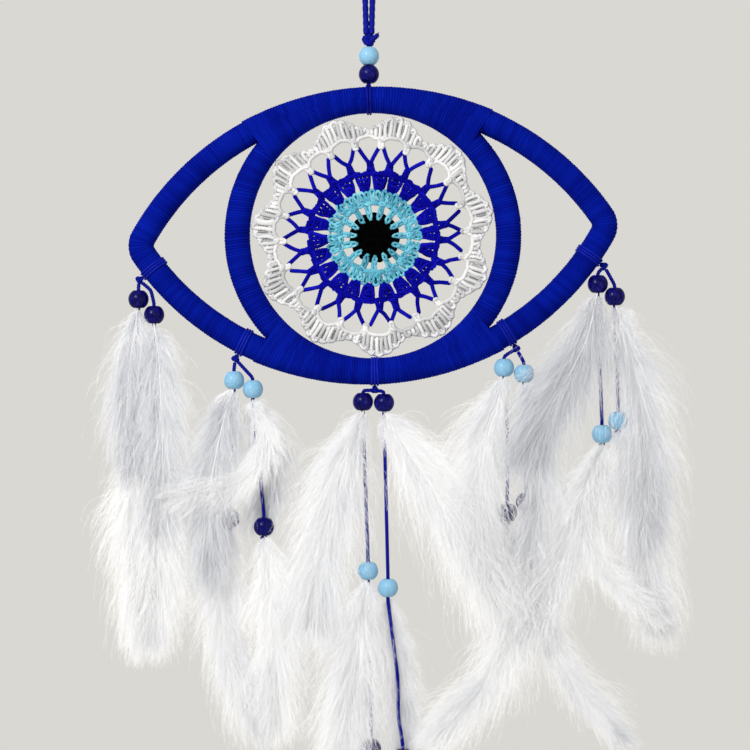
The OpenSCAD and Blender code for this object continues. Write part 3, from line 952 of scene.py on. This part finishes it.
def white_round():
    """Arches sprung from the tips of the Y stitches, and a fan of posts to each peak."""
    c = Crochet(24, 0.74)
    for i in range(STALKS):
        axis = PEAK_A + i * Y_STEP
        for k, y in ((0, -0.7), (1, 0.5)):
            us = np.linspace(-8.18, 8.18, 9)
            c.thread([(arch_r(u) + 0.2 + 1.1 * k, axis + u, y) for u in us], 0.98, jitter=0.2)
        meet = axis + Y_STEP / 2
        for s in (-1, 1):
            foot = [(43.0, 0.9, -0.7), (45.4, 0.9, -0.9), (48.5, 0.5, -0.7)]
            c.thread([(r, meet + s * w, y) for r, w, y in foot], 0.95)
        c.thread([(43.8, meet - 1.5, -0.9), (43.0, meet, -1.5), (43.8, meet + 1.5, -0.9)], 0.8)
        c.thread([(46.0, meet - 1.6, -0.9), (46.6, meet, -1.7), (47.4, meet + 1.6, -0.9)], 0.8)
    for i in range(STALKS * 9):
        u = (i % 9 - 4) * 1.75
        a = PEAK_A + (i // 9) * Y_STEP + u
        r = arch_r(u)
        c.thread([(r + 1.9, a - 1.2, 0.1), (r + 2.6, a + 1.2, 0.1)], 0.95, jitter=0.2)
    for i in range(FAN_POSTS):
        a = PEAK_A + (i + 0.5) * 360 / FAN_POSTS + c.rng.normal(0, 0.25)
        u = (a - PEAK_A + Y_STEP / 2) % Y_STEP - Y_STEP / 2
        r0, r1 = arch_r(u) + 0.8, rim_r(a) - 0.7
        lean = c.rng.normal(0, 0.4)
        thick = c.rng.uniform(0.8, 0.98)
        c.thread([(r0, a, -0.5), ((r0 + r1) / 2, a + lean, -1.0), (r1, a + lean / 2, -0.3)], thick)
        # A darker thread behind each slit between posts: painted shade in the slits.
        c.thread([(r0, a + 1.26, 0.5), (r0 + (r1 - r0) * 0.8, a + 1.26, 0.5)], 0.98, tone=0.24)
    for i in range(RIM_STITCHES):
        a = PEAK_A + i * 360 / RIM_STITCHES + c.rng.normal(0, 0.25)
        r = rim_r(a) - 0.4
        before, after = rim_r(a - 2.3) - 0.7, rim_r(a + 2.3) - 0.7
        c.thread([(r - 1.2, a - 1.6, -0.4), (r + 0.35, a, -0.9), (r - 1.2, a + 1.6, -0.4)], 0.8)
        c.thread([(before, a - 2.3, 0.1), (r, a, -0.4), (after, a + 2.3, 0.1)], 0.82)
    return c


def make_crochet():
    """The four colours of the crocheted eye, each one piece."""
    rounds = (
        (black_round, "black_crochet", BLACK, "pupil_round", "black_cotton"),
        (pale_round, "pale_crochet", PALE, "iris_round", "pale_cotton"),
        (blue_round, "blue_crochet", BLUE, "blue_round", "blue_cotton"),
        (white_round, "white_crochet", WHITE, "white_round", "white_cotton"),
    )
    for stitches, name, mat, node, slot in rounds:
        piece = stitches().build.make(name, mat, "eye")
        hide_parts(node)


# ---------------- feathers

# Strand, width, tone (painted shade: lower where a feather lies in shade, higher where light
# falls on it), depth at the quill and at the tip, and the shaft from quill to tip as [x, z].
# A strand's feathers are listed from its upper bead down.
FEATHERS = (
    ("left_tip_left", 27, 0.28, -1.5, -4.5, [[-114.3, -35.5], [-118, -58], [-119, -82], [-117, -112]]),
    ("left_tip_right", 29, 0.28, -2.5, -7.5, [[-106.9, -43.1], [-103, -72], [-101.5, -104], [-104, -140]]),
    ("left_tip_left", 34, 0.68, -1.0, -2.0, [[-117, -103.2], [-116, -134], [-114, -168], [-112, -194]]),
    ("left_tip_right", 32, 0.68, -2.0, -4.0, [[-105, -109.6], [-103, -138], [-104, -168], [-107, -195]]),
    ("lower_left_left", 33, 0.22, -2.0, -7.5, [[-67.8, -75], [-74, -98], [-79, -124], [-78, -160]]),
    ("lower_left_right", 28, 0.25, 0.5, 4.0, [[-58.6, -79.4], [-52, -100], [-50, -118], [-54, -134]]),
    ("lower_left_right", 22, 0.8, -0.5, -9.0, [[-58.6, -79.6], [-52, -101], [-65, -119], [-96, -127]]),
    ("lower_left_left", 29, 0.5, 0.0, 1.0, [[-70, -142.6], [-74, -172], [-69, -208], [-54, -242]]),
    ("lower_left_right", 29, 0.64, -1.5, -3.0, [[-53.2, -146.6], [-49, -175], [-47, -207], [-47, -238]]),
    ("bottom_left", 39, 0.5, -1.5, -5.0, [[-4.9, -85.5], [-16, -117], [-25, -152], [-28, -190]]),
    ("bottom_right", 39, 0.64, -1.0, -4.0, [[5.4, -86], [24, -115], [44, -146], [62, -182]]),
    ("bottom_left", 36, 0.54, -1.5, -4.0, [[-2.4, -168.1], [-8, -198], [-12, -234], [-14, -270]]),
    ("bottom_right", 22, 0.35, 1.5, 4.0, [[7.3, -176.4], [12, -204], [15, -230], [15.7, -256]]),
    ("bottom_left", 31, 0.5, 1.0, 0.0, [[-1, -254.6], [-5, -288], [-8, -320], [-12, -350]]),
    ("bottom_right", 31, 0.5, -1.0, 0.0, [[14.6, -259.6], [18, -290], [21, -322], [26, -352]]),
    ("lower_right_left", 34, 0.54, -2.0, -4.5, [[63.9, -69], [54, -98], [52, -128], [61, -160]]),
    ("lower_right_right", 25, 0.34, -2.5, -7.5, [[73.7, -71.8], [79, -98], [80, -126], [75, -154]]),
    ("lower_right_left", 33, 0.56, -1.0, -2.0, [[65.5, -139.8], [70, -176], [60, -212], [29, -245]]),
    ("lower_right_right", 24, 0.42, 1.0, 1.0, [[74.7, -134.6], [78, -172], [93, -210], [123, -247]]),
    ("right_tip_left", 38, 0.1, -2.0, -7.0, [[109.4, -28.3], [102, -53], [89, -79], [74, -105]]),
    ("right_tip_right", 34, 0.3, -1.5, -3.0, [[118, -34.2], [128, -68], [134, -104], [136, -142]]),
    ("right_tip_left", 32, 0.54, -1.0, -3.0, [[111.7, -101.2], [103, -132], [91, -160], [78, -188]]),
    ("right_tip_left", 17, 0.62, -0.5, -9.0, [[111.7, -101.4], [101, -130], [110, -160], [140, -187]]),
    ("right_tip_right", 33, 0.44, -0.5, -1.0, [[119.7, -94.7], [127, -126], [133, -158], [139, -189]]),
)
BARBS = 2700
BARB_STEPS = 6
BARBULES = 15
TUFTS = 26
COVERING = 0.34
USUAL_LENGTH = 90
USUAL_WIDTH = 36
FRONT_AND_BACK = 13.5


def fullness(t):
    """Half width along a feather, as a share of its widest: quick to fill, blunt at its end."""
    rise = np.clip(t / 0.22, 0, 1) ** 0.65
    fall = np.clip((1.06 - t) / 0.3, 0, 1) ** 0.5
    return (0.12 + 0.88 * rise) * fall


def stations(line, t):
    """Points of a line at shares t of its length, and its direction there."""
    s = np.linspace(0, 1, len(line))
    shaft = tangents(line)
    points = np.stack([np.interp(t, s, line[:, k]) for k in range(3)], -1)
    way = unit(np.stack([np.interp(t, s, shaft[:, k]) for k in range(3)], -1))
    return points, way


def gathered(path, tuft):
    """Barbs drawn towards the middle of their tuft, most of all at their tips."""
    pull = (0.25 * np.linspace(0, 1, BARB_STEPS + 1) ** 1.6)[None, :, None]
    for g in np.unique(tuft):
        members = tuft == g
        heart = path[members].mean(0)
        path[members] = path[members] * (1 - pull) + heart[None] * pull
    return path


def barbs_of(line, width, rng, n):
    """Paths of a feather's barbs, n x steps x 3, and the tuft of each.

    A third of them lie along the shaft and cover it, and the rest stand out to its sides.
    """
    t = np.sort(rng.uniform(0.004, 0.985, n))
    side = rng.choice([-1.0, 1.0], n)
    tuft = np.clip((t * TUFTS + rng.normal(0, 0.45, n)).astype(int), 0, TUFTS - 1)
    tuft += (side > 0) * TUFTS
    over = rng.uniform(0, 1, n) < COVERING
    full = fullness(t)
    swing = rng.normal(0, 0.15, 2 * TUFTS)[tuft]
    reach = rng.uniform(0.78, 1.1, 2 * TUFTS)[tuft]
    lift = rng.normal(0, 0.28, 2 * TUFTS)[tuft] + rng.normal(0, 0.5, n)
    lift += over * rng.normal(-0.5, 0.7, n)
    base, along = stations(line, t)
    across = unit(np.cross(along, [0, 1.0, 0])) * side[:, None]
    deep = np.cross(along, across)
    deep *= np.where(deep[:, 1:2] > 0, 1, -1)
    base += across * (np.abs(rng.normal(0, 0.09, n)) * width * full)[:, None]
    base += deep * (rng.normal(-0.015, 0.035, n) * width * full)[:, None]
    out = np.cos(lift)[:, None] * across + np.sin(lift)[:, None] * deep
    opened = (0.62 - 0.22 * t + swing + rng.normal(0, 0.26, n)) * np.where(over, 0.4, 1.0)
    length = width * 0.5 * full * reach * rng.uniform(0.4, 1.1, n) / np.sin(0.48)
    u = np.linspace(0, 1, BARB_STEPS + 1)[None]
    angle = opened[:, None] * (1.15 - 0.6 * u)
    angle += 0.22 * np.sin(3.4 * u + rng.uniform(0, 6, n)[:, None])
    way = np.cos(angle)[..., None] * along[:, None] + np.sin(angle)[..., None] * out[:, None]
    way = unit(way + np.array([0, 0, -0.3]) * (u[..., None] ** 1.3))
    steps = way[:, :-1] * (length / BARB_STEPS)[:, None, None]
    path = base[:, None] + np.concatenate([np.zeros((n, 1, 3)), np.cumsum(steps, 1)], 1)
    return gathered(path, tuft), tuft


def kept_in(path):
    """Barbs turned back softly where they would stand too far out."""
    path[..., 1] = FRONT_AND_BACK * np.tanh(path[..., 1] / FRONT_AND_BACK)
    over = np.maximum(np.abs(path[..., 0] - 6) - 138, 0)
    path[..., 0] += (13 * np.tanh(over / 13) - over) * np.sign(path[..., 0])
    return path


def ribbons(build, path, half, tone, rng):
    """Flat tapered strips along paths, each turned its own way."""
    n, m, _ = path.shape
    way = unit(np.gradient(path, axis=1))
    broad = unit(np.cross(way, rng.normal(size=(n, 1, 3)) + [0, 2.0, 0]))
    verts = np.stack([path - broad * half[..., None], path + broad * half[..., None]], 2)
    i = np.arange(n)[:, None] * m * 2
    k = np.arange(m - 1)[None] * 2
    faces = np.stack([i + k, i + k + 1, i + k + 3, i + k + 2], -1).reshape(-1, 4)
    build.add(verts, faces, tone=np.repeat(tone, m * 2))


def barbules(build, path, tone, rng):
    """The fine fibres along both sides of each barb, one thin triangle each."""
    n = len(path)
    count = 2 * BARBULES
    u = np.sort(rng.uniform(0.04, 1.0, (n, count)), 1)
    x = u * (path.shape[1] - 1)
    i = np.minimum(x.astype(int), path.shape[1] - 2)
    f = (x - i)[..., None]
    rows = np.arange(n)[:, None]
    root = path[rows, i] * (1 - f) + path[rows, i + 1] * f
    way = unit(path[rows, i + 1] - path[rows, i])
    off = unit(np.cross(way, rng.normal(size=(n, count, 3)) * [1, 0.7, 1] + [0, 1.2, 0]))
    off *= rng.choice([-1.0, 1.0], (n, count, 1))
    spread = rng.uniform(0.35, 1.0, (n, count, 1))
    reach = rng.uniform(1.2, 4.2, (n, count, 1)) * (1 - 0.3 * u[..., None])
    tip = root + unit(way + off * spread + np.array([0, 0, -0.15])) * reach
    side = unit(np.cross(tip - root, rng.normal(size=(n, count, 3)))) * 0.036
    verts = np.stack([root - side, root + side, tip], 2).reshape(-1, 3)
    faces = np.arange(n * count * 3).reshape(-1, 3)
    build.add(verts, faces, tone=np.repeat(np.repeat(tone, count), 3))


def feather(name, width, painted_shade_tone, quill_y, tip_y, spine, body, seed):
    """A shaft along its spine, with soft barbs and the fine barbules on them."""
    rng = np.random.default_rng(seed)
    depths = [quill_y, quill_y + (tip_y - quill_y) * 0.7, tip_y, tip_y]
    line = curve([[x, y, z] for (x, z), y in zip(spine, depths, strict=True)], 1.0)
    line[:, 0] += 0.5 * np.sin(lengths(line) / 11 + seed)
    size = lengths(line)[-1] / USUAL_LENGTH
    build = Build()
    raised = line - [0, 0.045 * width, 0] * np.sin(np.pi * np.linspace(0, 1, len(line)))[:, None]
    tube(build, raised, np.linspace(min(0.42, 0.012 * width), 0.05, len(line)), 6, tone=0.95)
    n = int(BARBS * min(1.1, max(0.6, size)) * max(0.6, width / USUAL_WIDTH))
    path, tuft = barbs_of(line, width, rng, n)
    path = kept_in(path)
    # Each feather's base tone is painted shade, darker where it lies in shade and lighter where light falls; tufts
    # and barbs vary from it at random.
    tone = painted_shade_tone + 0.12 * rng.normal(size=tuft.max() + 1)[tuft] + 0.1 * rng.normal(size=n)
    tone = np.clip(tone, 0, 1)
    half = np.linspace(0.07, 0.018, BARB_STEPS + 1)[None].repeat(n, 0)
    ribbons(build, path, half, tone, rng)
    barbules(build, path, tone, rng)
    return build.make(name, DOWN, body)


def make_feathers():
    """Every feather of the table, riding the cord that it is tied to."""
    seen = {}
    for i, (strand, width, painted_shade_tone, quill_y, tip_y, spine) in enumerate(FEATHERS):
        k = seen[strand] = seen.get(strand, 0) + 1
        name = f"{strand}_feather_{k}"
        piece = feather(name, width, painted_shade_tone, quill_y, tip_y, spine, f"{strand}_strand", 100 + i)
        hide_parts(f"{strand}_feathers")


# ---------------- setting


LAMPS = (
    ("key", [-0.52, -0.8, 0.52], 10.6, 0.3, (1.0, 1.0, 1.0)),
    ("fill", [0.9, -1.2, 0.1], 3.5, 0.9, (0.96, 0.98, 1.0)),
    ("back", [-0.5, 1.2, 0.3], 3.0, 0.8, (1.0, 0.99, 0.98)),
)
LIT_PLACE = put([0, 0, -90])
FLOOR_R = 2
FLOOR_Z = -0.82


def make_world():
    """An even pale studio, a little brighter where the camera sees it than in its light."""
    scene = bpy.context.scene
    scene.view_settings.view_transform = "Standard"
    world = bpy.data.worlds.new("studio")
    world.use_nodes = True
    tree = Tree(world.node_tree)
    sky = tree.nodes["Background"]
    sky.inputs["Color"].default_value = (0.70, 0.685, 0.65, 1)
    seen = tree.nodes.new("ShaderNodeLightPath").outputs["Is Camera Ray"]
    strength = tree.mixed(tree.mixed(seen, 0.05), 0.95, "ADD")
    tree.links.new(strength, sky.inputs["Strength"])
    scene.world = world


def make_lights():
    """Soft square lamps, each so far from the lit place and turned to it."""
    for name, away, power, size, colour in LAMPS:
        data = bpy.data.lights.new(name, "AREA")
        data.energy = power
        data.color = colour
        data.size = size
        lamp = linked(name, data)
        lamp.location = LIT_PLACE + away
        lamp.rotation_euler = Vector(-np.array(away)).to_track_quat("-Z", "Y").to_euler()


def make_floor():
    """A wide round pale floor under the hanging."""
    n = 96
    a = circle(n)
    verts = np.stack([FLOOR_R * np.cos(a), FLOOR_R * np.sin(a), np.full(n, FLOOR_Z)], -1)
    mesh = bpy.data.meshes.new("floor")
    mesh.from_pydata(verts.tolist(), [], [list(range(n))])
    mesh.materials.append(floor_paint("floor_paint"))
    linked("floor", mesh)


make_hanger()
make_strands()
make_ties()
make_frame()
make_crochet()
make_feathers()
make_world()
make_lights()
make_floor()
